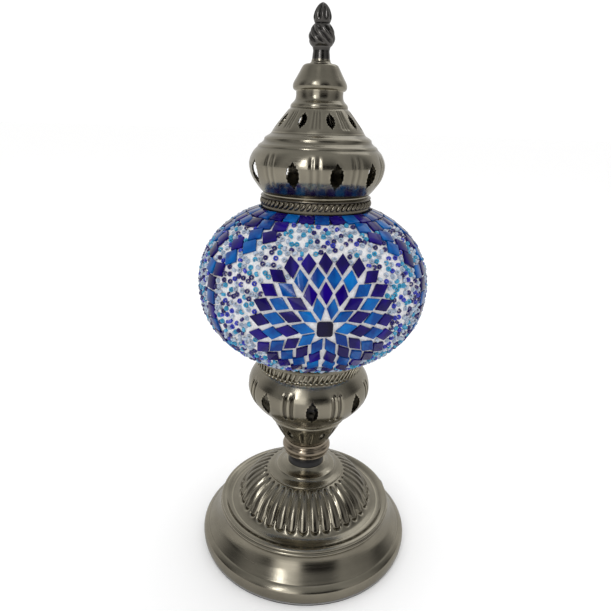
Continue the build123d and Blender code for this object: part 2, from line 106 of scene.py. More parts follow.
def drawn_line(name, points, plane="XZ"):
    """One vertex, drawn out into a line through the points, in millimetres."""
    clear_selection()
    bpy.ops.mesh.primitive_plane_add(size=MM)
    piece = bpy.context.object
    piece.name = piece.data.name = name
    bpy.ops.object.mode_set(mode="EDIT")
    bpy.ops.mesh.select_all(action="SELECT")
    bpy.ops.mesh.merge(type="CENTER")
    place = Vector((0, 0, 0))
    for index, (a, b) in enumerate(points):
        target = Vector((a, 0, b) if plane == "XZ" else (a, b, 0)) * MM
        if index == 0:
            bpy.ops.transform.translate(value=target - place)
        else:
            bpy.ops.mesh.extrude_vertices_move(TRANSFORM_OT_translate={"value": target - place})
        place = target
    return piece


def turned(name, *runs, steps=144, sheet=0.0, angle=32):
    """Piece turned about the lamp's axis. The runs meet at corners; a sheet gets its thickness inwards."""
    points = []
    for run in runs:
        run = run if not points else [points[-1], *run]
        line = through(run) if len(run) > 2 else list(run)
        points += line if not points else line[1:]
    if not sheet:
        points.append(points[0])
    piece = drawn_line(name, points)
    bpy.ops.mesh.select_all(action="SELECT")
    bpy.ops.mesh.spin(steps=steps, angle=2 * math.pi, center=(0, 0, 0), axis=(0, 0, 1))
    bpy.ops.mesh.select_all(action="SELECT")
    bpy.ops.mesh.remove_doubles(threshold=2e-6)
    bpy.ops.mesh.normals_make_consistent(inside=False)
    bpy.ops.object.mode_set(mode="OBJECT")
    if sheet:
        apply_modifier(piece, "SOLIDIFY", thickness=sheet * MM, offset=-1)
    smooth(piece, angle)
    return piece


def smooth(piece, angle=32):
    pick(piece)
    bpy.ops.object.shade_smooth_by_angle(angle=math.radians(angle))


def pressed(piece, depth, form):
    """Presses the wall in by depth millimetres where form(azimuth, height, radius) is 1, and less below 1."""
    group = piece.vertex_groups.new(name="press")
    for vertex in piece.data.vertices:
        azimuth = math.degrees(math.atan2(vertex.co.x, -vertex.co.y))
        weight = form(azimuth, vertex.co.z / MM, vertex.co.xy.length / MM)
        if weight > 0:
            group.add([vertex.index], min(1, weight), "REPLACE")
    apply_modifier(piece, "DISPLACE", strength=-depth * MM, mid_level=0, vertex_group="press")
    piece.vertex_groups.clear()


def nearest_of(azimuth, count, first):
    """Degrees from this azimuth to the nearest of count equal steps around the axis."""
    step = 360 / count
    return (azimuth - first + step / 2) % step - step / 2


def band(height, bottom, top, fade):
    """1 between two heights, fading to 0 at its ends."""
    inside = min(height - bottom, top - height) / fade
    inside = max(0, min(1, inside))
    return inside * inside * (3 - 2 * inside)


def hump(offset, half_width):
    """Rounded groove across: 1 in its middle, 0 from half its width on."""
    return max(0, 1 - (offset / half_width) ** 2) ** 1.5 if abs(offset) < half_width else 0


def placed(piece, matrix):
    """Copy with its own mesh, moved there."""
    copy = piece.copy()
    copy.data = piece.data.copy()
    copy.data.transform(matrix)
    bpy.context.collection.objects.link(copy)
    return copy


def joined(name, pieces):
    clear_selection()
    for piece in pieces:
        piece.select_set(True)
    bpy.context.view_layer.objects.active = pieces[0]
    bpy.ops.object.join()
    whole = bpy.context.object
    whole.name = whole.data.name = name
    return whole


def evenly(count, first):
    """Azimuths of count equal steps around the axis, in degrees."""
    return [first + index * 360 / count for index in range(count)]


def turn_about_axis(azimuth):
    return Matrix.Rotation(math.radians(azimuth), 4, "Z")


def around(name, piece, count, first=0):
    """The piece, made at the front, repeated around the axis at equal steps."""
    copies = [placed(piece, turn_about_axis(azimuth)) for azimuth in evenly(count, first)]
    bpy.data.objects.remove(piece)
    return joined(name, copies)


# A pierced leaf from its tip to its middle: rise and width, as shares of half its height and half its width
LEAF = [(1.0, 0.0), (0.84, 0.20), (0.72, 0.30), (0.68, 0.60), (0.55, 0.54), (0.47, 0.90), (0.34, 0.82),
        (0.18, 1.0), (0.0, 0.94)]


def pierced(piece, azimuths, height, tall, wide, near, far):
    """Cuts leaf windows with scalloped shoulders through the wall at these azimuths."""
    right_side = LEAF + [(-up, width) for up, width in reversed(LEAF[1:-1])]
    outline = [(width * wide / 2, up * tall / 2) for up, width in right_side]
    outline += [(-across, -up) for across, up in outline]
    cutter = drawn_line("window_cutter", outline)
    bpy.ops.mesh.select_all(action="SELECT")
    bpy.ops.mesh.edge_face_add()
    bpy.ops.transform.translate(value=(0, -near * MM, height * MM))
    bpy.ops.mesh.extrude_region_move(TRANSFORM_OT_translate={"value": (0, (near - far) * MM, 0)})
    bpy.ops.mesh.select_all(action="SELECT")
    bpy.ops.mesh.normals_make_consistent(inside=False)
    bpy.ops.object.mode_set(mode="OBJECT")
    cutters = joined("window_cutters", [placed(cutter, turn_about_axis(azimuth)) for azimuth in azimuths])
    bpy.data.objects.remove(cutter)
    apply_modifier(piece, "BOOLEAN", operation="DIFFERENCE", solver="EXACT", object=cutters)
    bpy.data.objects.remove(cutters)
    smooth(piece)


# ---------------------------------------------------------------- finishes

def group_of(name, inputs, outputs):
    tree = bpy.data.node_groups.new(name, "ShaderNodeTree")
    for label, kind, value in inputs:
        socket = tree.interface.new_socket(name=label, in_out="INPUT", socket_type=kind)
        if value is not None:
            socket.default_value = value
    for label, kind in outputs:
        tree.interface.new_socket(name=label, in_out="OUTPUT", socket_type=kind)
    return tree, tree.nodes.new("NodeGroupInput"), tree.nodes.new("NodeGroupOutput")


def noise(tree, vector, scale, detail, stretch=(1, 1, 1)):
    mapping = tree.nodes.new("ShaderNodeMapping")
    mapping.inputs["Scale"].default_value = stretch
    tree.links.new(vector, mapping.inputs["Vector"])
    texture = tree.nodes.new("ShaderNodeTexNoise")
    texture.inputs["Scale"].default_value = scale
    texture.inputs["Detail"].default_value = detail
    tree.links.new(mapping.outputs["Vector"], texture.inputs["Vector"])
    return texture.outputs["Fac"]


def ranged(tree, value, low, high, to_low=0.0, to_high=1.0):
    node = tree.nodes.new("ShaderNodeMapRange")
    for key, number in (("From Min", low), ("From Max", high), ("To Min", to_low), ("To Max", to_high)):
        node.inputs[key].default_value = number
    tree.links.new(value, node.inputs["Value"])
    return node.outputs["Result"]


def maths(tree, operation, a, b):
    node = tree.nodes.new("ShaderNodeMath")
    node.operation = operation
    for socket, value in zip(node.inputs, (a, b)):
        if isinstance(value, (int, float)):
            socket.default_value = value
        else:
            tree.links.new(value, socket)
    return node.outputs["Value"]


def blended(tree, a, share, b):
    """A share of a, and the rest of b."""
    return maths(tree, "ADD", maths(tree, "MULTIPLY", a, share), maths(tree, "MULTIPLY", b, 1 - share))


def mixed(tree, share, a, b):
    node = tree.nodes.new("ShaderNodeMix")
    node.data_type = "RGBA"
    for socket, value in ((node.inputs[0], share), (node.inputs[6], a), (node.inputs[7], b)):
        if isinstance(value, (tuple, float)):
            socket.default_value = value
        else:
            tree.links.new(value, socket)
    return node.outputs[2]


def make_grain():
    """Rings left by turning and brushing, and the slow blotches of an aged finish."""
    tree, start, end = group_of("turned_grain",
                                [("Vector", "NodeSocketVector", None), ("Edge", "NodeSocketFloat", 0.5)],
                                [("Rings", "NodeSocketFloat"), ("Wear", "NodeSocketFloat")])
    vector = start.outputs["Vector"]
    fine = noise(tree, vector, 1.0, 3.0, (28, 28, 5200))
    broad = noise(tree, vector, 1.0, 2.0, (12, 12, 900))
    rings = blended(tree, fine, 0.65, broad)
    blotch = noise(tree, vector, 38.0, 4.0)
    edges = ranged(tree, start.outputs["Edge"], 0.44, 0.56)
    wear = blended(tree, edges, 0.65, blotch)
    tree.links.new(rings, end.inputs["Rings"])
    tree.links.new(wear, end.inputs["Wear"])
    return tree


def make_mottle():
    """Streaks and clouds inside sheet glass."""
    tree, start, end = group_of("glass_mottle",
                                [("Vector", "NodeSocketVector", None), ("Tint", "NodeSocketFloat", 0.5)],
                                [("Cloud", "NodeSocketFloat"), ("Ripple", "NodeSocketFloat")])
    vector = start.outputs["Vector"]
    cloud = ranged(tree, noise(tree, vector, 140.0, 3.0, (1, 1, 0.6)), 0.40, 0.75)
    cloud = blended(tree, cloud, 0.55, start.outputs["Tint"])
    tree.links.new(cloud, end.inputs["Cloud"])
    tree.links.new(noise(tree, vector, 420.0, 2.0), end.inputs["Ripple"])
    return tree


def material_of(name):
    material = bpy.data.materials.new(name)
    material.use_nodes = True
    tree = material.node_tree
    shader = tree.nodes["Principled BSDF"]
    coordinates = tree.nodes.new("ShaderNodeTexCoord").outputs["Object"]
    return material, tree, shader, coordinates


def bumped(tree, shader, height, strength, distance):
    bump = tree.nodes.new("ShaderNodeBump")
    bump.inputs["Strength"].default_value = strength
    bump.inputs["Distance"].default_value = distance
    tree.links.new(height, bump.inputs["Height"])
    tree.links.new(bump.outputs["Normal"], shader.inputs["Normal"])


def rgb(red, green, blue):
    """Linear colour of an 8-bit display colour."""
    return tuple((v / 255) ** 2.2 for v in (red, green, blue)) + (1.0,)


def turned_metal(name, worn, aged, rough, ring_strength=0.2):
    material, tree, shader, coordinates = material_of(name)
    grain = tree.nodes.new("ShaderNodeGroup")
    grain.node_tree = GRAIN
    tree.links.new(coordinates, grain.inputs["Vector"])
    tree.links.new(tree.nodes.new("ShaderNodeNewGeometry").outputs["Pointiness"], grain.inputs["Edge"])
    share = ranged(tree, grain.outputs["Wear"], 0.25, 0.75)
    tree.links.new(mixed(tree, share, aged, worn), shader.inputs["Base Color"])
    gloss = ranged(tree, grain.outputs["Rings"], 0.3, 0.7, rough - 0.07, rough + 0.09)
    tree.links.new(gloss, shader.inputs["Roughness"])
    shader.inputs["Metallic"].default_value = 1.0
    bumped(tree, shader, grain.outputs["Rings"], ring_strength, 0.00006)
    return material


def plain_finish(name, colour, rough, metallic=0.0, coat=0.0, grain_scale=700.0, grain_strength=0.15):
    material, tree, shader, coordinates = material_of(name)
    speckle = noise(tree, coordinates, grain_scale, 3.0)
    darker = tuple(c * 0.8 for c in colour[:3]) + (1.0,)
    speckled = mixed(tree, ranged(tree, speckle, 0.35, 0.65), darker, colour)
    gloss = ranged(tree, speckle, 0.3, 0.7, rough * 0.85, min(1.0, rough * 1.15))
    tree.links.new(speckled, shader.inputs["Base Color"])
    tree.links.new(gloss, shader.inputs["Roughness"])
    shader.inputs["Metallic"].default_value = metallic
    shader.inputs["Coat Weight"].default_value = coat
    bumped(tree, shader, speckle, grain_strength, 0.0001)
    return material


def tile_glass(name, deep, light):
    material, tree, shader, coordinates = material_of(name)
    tint = tree.nodes.new("ShaderNodeAttribute")
    tint.attribute_name = "tint"
    mottle = tree.nodes.new("ShaderNodeGroup")
    mottle.node_tree = MOTTLE
    tree.links.new(coordinates, mottle.inputs["Vector"])
    tree.links.new(tint.outputs["Fac"], mottle.inputs["Tint"])
    tree.links.new(mixed(tree, ranged(tree, mottle.outputs["Cloud"], 0.15, 0.95), deep, light),
                   shader.inputs["Base Color"])
    shader.inputs["Roughness"].default_value = 0.08
    shader.inputs["Specular IOR Level"].default_value = 0.3
    bumped(tree, shader, mottle.outputs["Ripple"], 0.12, 0.0003)
    return material


def clear_glass(name, colour, rough, transmission):
    material, tree, shader, coordinates = material_of(name)
    cloud = noise(tree, coordinates, 300.0, 2.0)
    paler = tuple(0.5 * c + 0.5 for c in colour[:3]) + (1.0,)
    tree.links.new(mixed(tree, cloud, colour, paler), shader.inputs["Base Color"])
    shader.inputs["Roughness"].default_value = rough
    shader.inputs["Transmission Weight"].default_value = transmission
    shader.inputs["IOR"].default_value = 1.5
    return material


GRAIN = make_grain()
MOTTLE = make_mottle()
FINISH = {
    "antique_bronze": turned_metal("antique_bronze", rgb(182, 176, 160), rgb(98, 94, 85), 0.19),
    # A darker copy of the antique bronze for the collar and rope band under the bulge: painted shade
    "shaded_bronze": turned_metal("shaded_bronze", rgb(132, 126, 114), rgb(56, 53, 48), 0.22),
    "gunmetal": turned_metal("gunmetal", rgb(112, 110, 108), rgb(58, 57, 57), 0.22),
    "coppery_brass": turned_metal("coppery_brass", rgb(180, 168, 150), rgb(116, 106, 94), 0.18),
    "blackened_metal": plain_finish("blackened_metal", rgb(28, 28, 32), 0.45, 0.0, 0.2),
    "steel": turned_metal("steel", rgb(200, 200, 202), rgb(150, 150, 155), 0.3),
    "cast_iron": plain_finish("cast_iron", rgb(70, 70, 72), 0.7, 0.6, 0.0, 400.0, 0.5),
    "black_rubber": plain_finish("black_rubber", rgb(26, 26, 28), 0.75),
    "black_plastic": plain_finish("black_plastic", rgb(22, 22, 22), 0.3, 0.0, 0.3),
    "bright_brass": turned_metal("bright_brass", rgb(225, 195, 130), rgb(185, 150, 90), 0.2),
    "warm_filament": plain_finish("warm_filament", rgb(240, 215, 150), 0.6),
    "bulb_glass": clear_glass("bulb_glass", rgb(245, 245, 240), 0.35, 0.6),
    "frosted_glass": clear_glass("frosted_glass", rgb(240, 243, 248), 0.5, 0.5),
    "white_grout": plain_finish("white_grout", rgb(232, 231, 232), 0.75, 0.0, 0.0, 900.0, 0.6),
    "navy_glass": tile_glass("navy_glass", rgb(12, 8, 34), rgb(18, 12, 52)),
    "azure_glass": tile_glass("azure_glass", rgb(0, 50, 118), rgb(0, 110, 185)),
    "indigo_glass": tile_glass("indigo_glass", rgb(20, 6, 74), rgb(34, 14, 124)),
}


def finished(piece, finish, body, slot, *nodes):
    """Gives the piece its finish and its place in the frame."""
    piece.data.materials.clear()
    piece.data.materials.append(FINISH[finish] if isinstance(finish, str) else finish)
    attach(piece, body)
    if nodes:
        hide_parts(*nodes)
    return piece


for node, plain in frame["nodes"].items():
    finish = FINISH[SLOT_OF[node]]
    if not plain.material_slots:
        plain.data.materials.append(finish)
    for material_slot in plain.material_slots:
        material_slot.material = finish


def bronze(piece, body, *nodes):
    return finished(piece, "antique_bronze", body, "antique_bronze", *nodes)


# ---------------------------------------------------------------- base

rim_foot, rim = foot("base_shell"), reach("base_shell")
dome_foot = foot("fluted_dome")
bronze(turned("base_rim",
              [(rim - 1.6, rim_foot), (rim - 0.4, rim_foot + 1.0), (rim, rim_foot + 3.6),
               (rim, rim_foot + 6.4), (rim - 0.8, rim_foot + 8.6), (rim - 2.8, rim_foot + 10.4),
               (rim - 3.9, rim_foot + 11.0)],
              [(rim - 4.3, rim_foot + 11.5), (rim - 6.0, rim_foot + 13.3), (rim - 9.0, rim_foot + 16.8),
               (rim - 11.3, rim_foot + 20.9), (rim - 12.6, rim_foot + 24.2)],
              [(rim - 12.1, rim_foot + 25.0), (rim - 12.1, rim_foot + 26.2), (rim - 13.0, rim_foot + 26.9)],
              [(rim - 12.7, rim_foot + 27.6), (rim - 12.9, rim_foot + 28.5), (rim - 14.0, rim_foot + 29.0)],
              [(rim - 15.4, rim_foot + 28.9), (rim - 17.6, dome_foot + 1.0), (rim - 19.6, dome_foot + 0.9)],
              [(38.0, dome_foot)], steps=192, sheet=1.0, angle=40), "stand", "base_shell")

flutes = 36
cup_foot = foot("base_cup")


def between_flutes(azimuth, height, radius):
    """Hollow channels with round ends between narrow ridges."""
    away = abs(nearest_of(azimuth, flutes, 0)) / (180 / flutes)
    if radius < 25.5:
        return 0
    ends = max(0, 1 - (away / 0.80) ** 2) ** 0.5
    foot_line, head_line = dome_foot + 5.6 - 3.2 * ends, dome_foot + 21.0 + 1.4 * ends
    return max(0, 1 - (away / 0.86) ** 2.2) ** 0.6 * band(height, foot_line, head_line, 1.5)


fluted = turned("dome_fluted",
                [(51.0, dome_foot + 0.8), (49.0, dome_foot + 1.0), (46.4, dome_foot + 1.9),
                 (44.4, dome_foot + 3.9), (42.4, dome_foot + 7.4),
                 (40.0, dome_foot + 11.6), (36.4, dome_foot + 15.9), (32.0, dome_foot + 19.2),
                 (27.6, dome_foot + 21.6), (24.6, cup_foot)],
                [(20.0, cup_foot)], steps=flutes * 10, sheet=0.8, angle=60)
pressed(fluted, 1.5, between_flutes)
smooth(fluted, 60)
bronze(fluted, "stand", "fluted_dome")

spacer_foot = foot("neck_spacer")
bronze(turned("cup_stepped",
              [(24.8, cup_foot), (25.3, cup_foot + 0.35), (25.1, cup_foot + 0.9)],
              [(24.2, cup_foot + 1.3), (21.6, cup_foot + 2.1), (19.7, cup_foot + 3.4)],
              [(19.3, cup_foot + 3.9), (17.9, cup_foot + 4.3)],
              [(16.2, cup_foot + 4.8), (14.4, cup_foot + 5.9), (12.6, spacer_foot)],
              [(5.2, spacer_foot)], sheet=0.7), "stand", "base_cup")

neck_foot = foot("neck_ring")
cone_foot = foot("lower_cone")
finished(turned("spacer_neck", [(5.1, spacer_foot), (12.0, spacer_foot)],
                [(11.8, spacer_foot + 1.2), (11.6, spacer_foot + 3.6), (12.2, neck_foot)],
                [(5.1, neck_foot)]), "blackened_metal", "stand", "blackened_metal", "neck_spacer")
finished(turned("ring_neck", [(5.1, neck_foot), (13.2, neck_foot)],
                [(14.4, neck_foot + 0.3), (14.7, neck_foot + 1.0), (14.4, neck_foot + 1.7)],
                [(15.3, neck_foot + 2.8), (15.9, neck_foot + 4.4), (15.7, neck_foot + 6.0),
                 (14.9, neck_foot + 7.3)],
                [(14.3, neck_foot + 7.7), (13.8, neck_foot + 8.6), (13.7, cone_foot)],
                [(5.1, cone_foot)]), "coppery_brass", "stand", "coppery_brass", "neck_ring")

# ---------------------------------------------------------------- cone and bowl

bowl_foot = foot("lower_bowl")
bowl_rim = crown("lower_bowl")


def cone_ribs(azimuth, height, radius):
    off = abs(nearest_of(azimuth, 6, 0))
    return hump(off - 7.5, 3.4) * band(height, cone_foot + 3, cone_foot + 17, 3.0)


cone = turned("cone_pierced", [(5.2, cone_foot + 0.1), (13.4, cone_foot + 0.1)],
              [(15.0, cone_foot + 2.0), (17.2, cone_foot + 5.6), (20.4, cone_foot + 11.2),
               (22.7, cone_foot + 16.2), (24.4, cone_foot + 18.6)],
              [(25.0, cone_foot + 19.4), (24.7, cone_foot + 20.6)], [(23.6, bowl_foot)], steps=180, sheet=1.1)
pressed(cone, 0.7, cone_ribs)
pierced(cone, evenly(6, 29), cone_foot + 11.2, 7.0, 4.6, 12, 30)
bronze(cone, "stand", "lower_cone")


def bowl_flutes(azimuth, height, radius):
    off = abs(nearest_of(azimuth, 8, 27))
    return hump(off - 3.2, 2.4) * band(height, bowl_foot + 9.5, bowl_foot + 28.5, 2.5) if radius > 32 else 0


bowl = turned("bowl_pierced", [(5.2, bowl_foot + 0.1), (25.2, bowl_foot + 0.1)],
              [(27.0, bowl_foot + 1.7), (29.6, bowl_foot + 3.8), (33.2, bowl_foot + 7.4),
               (37.0, bowl_foot + 12.8), (38.7, bowl_foot + 19.0), (37.4, bowl_foot + 26.0),
               (33.8, bowl_foot + 31.5), (31.2, bowl_foot + 34.0)],
              [(30.3, bowl_foot + 35.6), (30.3, bowl_rim)], steps=288, sheet=1.1)
pressed(bowl, 1.2, bowl_flutes)
pierced(bowl, evenly(8, 4), bowl_foot + 17.8, 15.5, 7.4, 20, 50)
bronze(bowl, "stand", "lower_bowl")

# ---------------------------------------------------------------- gallery and seat

slats = 64
clear_selection()
bpy.ops.mesh.primitive_cube_add(size=MM, location=(0, 0, 0))
slat = bpy.context.object
bpy.ops.object.mode_set(mode="EDIT")
bpy.ops.transform.resize(value=(1.05, 0.8, 6.0))
bpy.ops.mesh.bevel(offset=0.28 * MM, segments=2, affect="EDGES")
bpy.ops.object.mode_set(mode="OBJECT")
slat.data.transform(Matrix.Translation((0, -32.9 * MM, (bowl_rim - 3.8) * MM))
                    @ Matrix.Rotation(math.radians(13), 4, "X") @ Matrix.Rotation(math.radians(24), 4, "Y"))
clear_selection()
bpy.ops.mesh.primitive_uv_sphere_add(segments=10, ring_count=6, radius=0.95 * MM)
edge_bead = bpy.context.object
edge_bead.data.transform(Matrix.Translation((0, -32.3 * MM, (bowl_rim - 7.0) * MM))
                         @ Matrix.Diagonal((1.25, 1, 0.9, 1)))
rails = turned("gallery_rails", [(31.2, bowl_rim - 7.3), (32.0, bowl_rim - 7.3)],
               [(32.6, bowl_rim - 6.9), (32.2, bowl_rim - 6.3)], [(31.2, bowl_rim - 6.3)])
top_rail = turned("gallery_top", [(30.5, bowl_rim - 1.1), (33.6, bowl_rim - 1.1)],
                  [(34.4, bowl_rim - 0.6), (34.5, bowl_rim)], [(30.5, bowl_rim)])
gallery = joined("gallery_slats", [around("slats", slat, slats, 1.0),
                                   around("edge_beads", edge_bead, slats, 3.0), rails, top_rail])
smooth(gallery)
bronze(gallery, "stand", "gallery")

seat_foot = foot("globe_seat")
bronze(turned("seat_ring", [(27.5, seat_foot), (34.7, seat_foot)],
              [(35.4, seat_foot + 0.4), (35.7, seat_foot + 1.1), (36.2, seat_foot + 2.1)],
              [(32.6, seat_foot + 2.2), (32.6, seat_foot + 5.3)],
              [(31.4, seat_foot + 5.3), (31.4, seat_foot + 2.2)], [(27.5, seat_foot + 2.2)]),
       "stand", "globe_seat")

# ---------------------------------------------------------------- globe

globe_low, globe_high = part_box("globe_grout")
# The globe's outline is a superellipse: its power, half its width and height, and the height of its middle
ROUND = 2.2
SKIN = 67.0
HALF = 49.0
MIDDLE = 183.5
# How deep tiles and grout lie under the tiles' faces
TILE_DEPTH = 1.1


def skin_table():
    """Arc length, radius, rise and tilt of the globe's outline, from its equator up."""
    rows, length, last = [(0.0, SKIN, 0.0, 0.0)], 0.0, (SKIN, 0.0)
    for step in range(1, 1780):
        angle = math.radians(step * 0.05)
        here = (SKIN * math.cos(angle) ** (2 / ROUND), HALF * math.sin(angle) ** (2 / ROUND))
        length += math.dist(here, last)
        rows.append((length, *here, math.atan2(last[0] - here[0], here[1] - last[1])))
        last = here
    return rows


SKIN_ROWS = skin_table()


def arc_at(radius):
    """Arc length from the equator to where the globe has narrowed to this radius."""
    return next(row[0] for row in SKIN_ROWS if row[1] < radius)


def skin_row(arc):
    low, high = 0, len(SKIN_ROWS) - 1
    while low < high:
        middle = (low + high) // 2
        if SKIN_ROWS[middle][0] < abs(arc):
            low = middle + 1
        else:
            high = middle
    _, radius, rise, tilt = SKIN_ROWS[low]
    side = 1 if arc >= 0 else -1
    return radius, side * rise, side * tilt


def skin_place(azimuth, arc, depth=0.0):
    """Matrix of a point on the globe's skin: X runs to the right, Y up the skin and Z straight out."""
    radius, rise, tilt = skin_row(arc)
    turn = math.radians(azimuth)
    out = Vector((math.sin(turn), -math.cos(turn), 0))
    right = Vector((math.cos(turn), math.sin(turn), 0))
    normal = out * math.cos(tilt) + Vector((0, 0, math.sin(tilt)))
    up = normal.cross(right)
    place = out * radius + Vector((0, 0, MIDDLE + rise)) - normal * depth
    matrix = Matrix((right, up, normal)).transposed().to_4x4()
    matrix.translation = place * MM
    return matrix


skin_line = []
for step in range(61):
    angle = math.radians(-90 + 180 * step / 60)
    depth_radius, depth_half = SKIN - TILE_DEPTH, HALF - TILE_DEPTH
    rise = abs(math.sin(angle)) ** (2 / ROUND) * math.copysign(depth_half, angle)
    line_point = (depth_radius * max(0.0, math.cos(angle)) ** (2 / ROUND), MIDDLE + rise)
    if globe_low.z / MM < line_point[1] < globe_high.z / MM and line_point[0] > 26.5:
        skin_line.append(line_point)
inner_line = [(r - 1.3, z) for r, z in reversed(skin_line)]
grout = drawn_line("globe_skin", [*skin_line, *inner_line, skin_line[0]])
bpy.ops.mesh.select_all(action="SELECT")
bpy.ops.mesh.spin(steps=180, angle=2 * math.pi, center=(0, 0, 0), axis=(0, 0, 1))
bpy.ops.mesh.select_all(action="SELECT")
bpy.ops.mesh.remove_doubles(threshold=2e-6)
bpy.ops.mesh.normals_make_consistent(inside=False)
bpy.ops.object.mode_set(mode="OBJECT")
smooth(grout)
finished(grout, "white_grout", "globe", "white_grout", "globe_grout")


def glass_piece(name, points, rounding):
    """Cut piece of sheet glass, lying flat, with its edges softened."""
    piece = drawn_line(name, points, plane="XY")
    bpy.ops.mesh.select_all(action="SELECT")
    bpy.ops.mesh.edge_face_add()
    if rounding:
        bpy.ops.mesh.bevel(offset=rounding * MM, segments=3, affect="VERTICES")
    bpy.ops.mesh.select_all(action="SELECT")
    bpy.ops.mesh.extrude_region_move(TRANSFORM_OT_translate={"value": (0, 0, 1.3 * MM)})
    bpy.ops.mesh.select_all(action="SELECT")
    bpy.ops.mesh.normals_make_consistent(inside=False)
    bpy.ops.mesh.bevel(offset=0.22 * MM, segments=2, affect="EDGES")
    bpy.ops.object.mode_set(mode="OBJECT")
    smooth(piece, 40)
    return piece


random.seed(17)
zones, hearts = [], []
tint_piles = {"azure": [], "indigo": [], "centre": []}
RHOMBUS_TALL, RHOMBUS_WIDE = 5.8, 3.7
SQUARE_TALL, SQUARE_WIDE = 3.4, 3.9
rhombus = glass_piece("rhombus", [(0, RHOMBUS_TALL), (-RHOMBUS_WIDE, 0),
                                  (0, -RHOMBUS_TALL), (RHOMBUS_WIDE, 0)], 0.3)
square = glass_piece("square", [(-SQUARE_WIDE, -SQUARE_TALL), (SQUARE_WIDE, -SQUARE_TALL),
                                (SQUARE_WIDE, SQUARE_TALL), (-SQUARE_WIDE, SQUARE_TALL)], 0.4)
button = glass_piece("button", [(-4, -4), (4, -4), (4, 4), (-4, 4)], 1.5)


def lay(piece, pile, azimuth, arc, across, up, turn, half_long, half_wide, stretch=(1, 1)):
    """Lays a copy on the skin, across and up from a point, turned in its own plane, with its own tint."""
    radius = skin_row(arc + up)[0]
    if arc + up < 0 and radius < 43.5:
        return
    matrix = skin_place(azimuth + math.degrees(across / radius), arc + up, TILE_DEPTH)
    matrix = matrix @ Matrix.Rotation(math.radians(turn), 4, "Z")
    zones.append((matrix.inverted(), half_long * stretch[1], half_wide * stretch[0], piece is rhombus))
    copy = placed(piece, matrix @ Matrix.Diagonal((*stretch, 1, 1)))
    tint = copy.data.attributes.new("tint", "FLOAT", "FACE")
    value = random.random()
    for item in tint.data:
        item.value = value
    tint_piles[pile].append(copy)


flowers = (6, 126, 246)
flower_arc = -5.0
row_widths = (0.82, 0.92, 1.0, 1.0)
first_row, row_step = 10.7, 7.5
for azimuth in flowers:
    hearts.append(skin_place(azimuth, flower_arc).translation)
    lay(button, "centre", azimuth, flower_arc, 0, 0, random.uniform(-2, 2), 4.0, 4.0)
    for row, row_width in enumerate(row_widths, 1):
        colour = "azure" if row % 2 else "indigo"
        for sector in range(5):
            for index in range(row + 1):
                swing = (index - row / 2) * 72 / (row + 1)
                distance = (first_row + row_step * (row - 1)) * (1 + 0.05 * (swing / 30) ** 2)
                turn = math.radians(72 * sector + swing)
                lay(rhombus, colour, azimuth, flower_arc,
                    distance * math.sin(turn), distance * math.cos(turn),
                    -72 * sector - 0.45 * swing + random.uniform(-3, 3), RHOMBUS_TALL, RHOMBUS_WIDE,
                    (random.uniform(0.94, 1.04) * row_width, random.uniform(0.93, 1.05)))

# A ring of squares below the cap, and between two flowers an arch of squares that meets in one column
ring_tiles = 28
ring_arc = arc_at(35.4)
for index, azimuth in enumerate(evenly(ring_tiles, flowers[0])):
    lay(square, "indigo" if index % 2 else "azure", azimuth, ring_arc, 0, 0, random.uniform(-4, 4),
        SQUARE_TALL, SQUARE_WIDE, (random.uniform(0.92, 1.0), random.uniform(0.98, 1.1)))
arch_rows = (((30, 18, 6), 12), ((27, 16.5), 24), ((18, 8.5), 30), ((9.5,), 28), ((4.2,), 8))
arch_tiles = 11
for flower in flowers:
    for index in range(arch_tiles):
        places = [(0, 0)]
        if index < len(arch_rows):
            swings, lean = arch_rows[index]
            places = [(side * swing, side * lean) for side in (-1, 1) for swing in swings]
        for count, (swing, lean) in enumerate(places):
            lay(square, "indigo" if (index + count) % 2 else "azure", flower + 60 + swing,
                ring_arc - 8.0 * (index + 1), 0, 0, lean + random.uniform(-4, 4), SQUARE_TALL, SQUARE_WIDE,
                (random.uniform(0.90, 0.98), random.uniform(1.0, 1.08)))

for piece in (rhombus, square, button):
    bpy.data.objects.remove(piece)
for pile, glass in (("azure", "azure_glass"), ("indigo", "indigo_glass"), ("centre", "navy_glass")):
    finished(joined(f"{pile}_tiles", tint_piles[pile]), glass, "globe", glass, f"tiles_{pile}")

# Seed beads fill the rest of the grout
BEAD_RADIUS, BEAD_THREAD = 0.98, 0.50
BEAD_SPACING = 2.62
BEAD_SINK = 0.75
CELL = 3.0
FLOWER_HEART = 31.0
clear_selection()
bpy.ops.mesh.primitive_torus_add(major_segments=10, minor_segments=5, major_radius=BEAD_RADIUS * MM,
                                 minor_radius=BEAD_THREAD * MM)
seed = bpy.context.object
bpy.ops.object.mode_set(mode="EDIT")
bpy.ops.transform.resize(value=(1, 1, 1.75))
bpy.ops.object.mode_set(mode="OBJECT")
smooth(seed, 60)

bead_looks = {
    "beads_clear": (0.44, plain_finish("bead_clear", rgb(168, 182, 202), 0.10, 0.0, 1.0)),
    "beads_turquoise": (0.24, plain_finish("bead_turquoise", rgb(52, 150, 192), 0.12, 0.0, 1.0)),
    "beads_navy": (0.20, plain_finish("bead_navy", rgb(34, 26, 104), 0.12, 0.0, 1.0)),
    "beads_cobalt": (0.12, plain_finish("bead_cobalt", rgb(45, 55, 175), 0.12, 0.0, 1.0)),
}
bead_piles = {name: [] for name in bead_looks}
zone_turns = numpy.array([[list(row)[:3] for row in inverse][:3] for inverse, *_ in zones])
zone_shifts = numpy.array([[row[3] / MM for row in inverse][:3] for inverse, *_ in zones])
zone_sizes = numpy.array([[*sizes, float(is_rhombus)] for _, *sizes, is_rhombus in zones])
cells = {}


